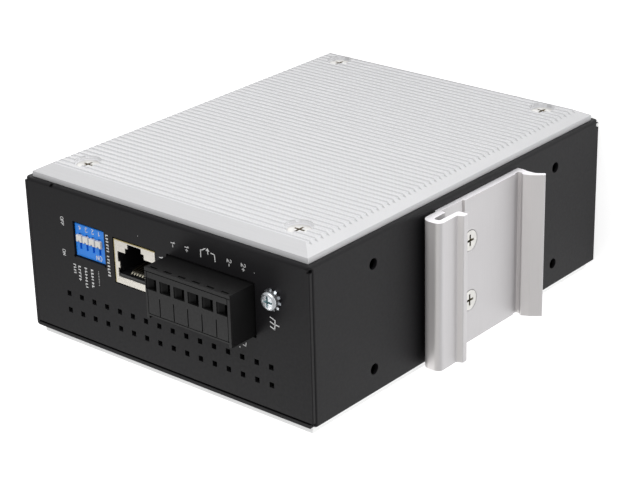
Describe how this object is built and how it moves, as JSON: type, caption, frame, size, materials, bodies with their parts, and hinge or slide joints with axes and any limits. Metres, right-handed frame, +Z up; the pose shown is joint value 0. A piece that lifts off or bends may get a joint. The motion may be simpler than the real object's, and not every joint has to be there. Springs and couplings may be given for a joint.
{
  "type": "din rail ethernet switch",
  "caption": "Slim industrial network switch in a black steel box with ribbed aluminium sides, front sockets, a top terminal plug and a rear rail clip.",
  "frame": {"origin": "middle of the steel box's bottom face", "axes": "+Z up as mounted on a rail, -Y the front with the network sockets, +Y the rear with the rail clip, +X across the width"},
  "size_m": [0.0536, 0.1149, 0.144],
  "materials": {
    "case_black": "fine powder coat",
    "panel_aluminium": "fine bead-blasted, clear anodised",
    "bracket_aluminium": "extruded, satin anodised",
    "screw_zinc": "bright zinc",
    "spring_steel": "spring steel",
    "spacer_brass": "turned",
    "steel_nut": "zinc",
    "board_green": "solder mask",
    "chip_black": "moulded",
    "pad_grey": "soft",
    "module_dark": "moulded",
    "capacitor_sleeve": "shrink sleeve",
    "relay_case": "moulded",
    "contact_gold": "gold plated",
    "pin_tin": "tin plated",
    "shield_nickel": "nickel plated sheet",
    "socket_black": "moulded",
    "light_lens": "clear",
    "dip_blue": "moulded",
    "lever_white": "moulded",
    "plug_black": "moulded"
  },
  "bodies": {
    "case": {"case_cover": "case_black", "case_tray": "case_black", "side_panel_left": "panel_aluminium", "side_panel_right": "panel_aluminium", "side_panel_screws": "screw_zinc", "case_pillars": "spacer_brass", "rail_bracket": "bracket_aluminium", "bracket_screws": "screw_zinc", "rail_spring": "spring_steel", "clinch_nuts": "steel_nut", "ground_screw": "screw_zinc", "ground_washer": "screw_zinc", "main_board": "board_green", "io_board": "board_green", "board_standoffs": "steel_nut", "board_spacers": "spacer_brass", "board_screws": "screw_zinc", "switch_chip": "chip_black", "thermal_pad": "pad_grey", "port_magnetics": "module_dark", "power_module": "module_dark", "power_capacitors": "capacitor_sleeve", "fault_relay": "relay_case", "board_link_header": "socket_black", "board_link_socket": "socket_black", "board_link_pins": "contact_gold", "console_shield": "shield_nickel", "console_housing": "socket_black", "console_contacts": "contact_gold", "port_shield": "shield_nickel", "port_housing": "socket_black", "port_contacts": "contact_gold", "port_lights": "light_lens", "light_holder": "socket_black", "status_lights": "light_lens", "dip_body": "dip_blue", "dip_board": "board_green", "dip_board_pins": "contact_gold", "terminal_plug": "plug_black", "clamp_cages": "pin_tin", "clamp_screws": "screw_zinc", "terminal_header": "plug_black", "terminal_pins": "pin_tin"},
    "dip_lever_1": {"dip_lever_1": "lever_white"},
    "dip_lever_2": {"dip_lever_2": "lever_white"},
    "dip_lever_3": {"dip_lever_3": "lever_white"},
    "dip_lever_4": {"dip_lever_4": "lever_white"}
  },
  "joints": [
    {"name": "dip_slide_1", "type": "slide", "parent": "case", "child": "dip_lever_1", "axis": [1, 0, 0], "range_m": [0, 0.002]},
    {"name": "dip_slide_2", "type": "slide", "parent": "case", "child": "dip_lever_2", "axis": [1, 0, 0], "range_m": [0, 0.002]},
    {"name": "dip_slide_3", "type": "slide", "parent": "case", "child": "dip_lever_3", "axis": [1, 0, 0], "range_m": [0, 0.002]},
    {"name": "dip_slide_4", "type": "slide", "parent": "case", "child": "dip_lever_4", "axis": [1, 0, 0], "range_m": [0, 0.002]}
  ]
}
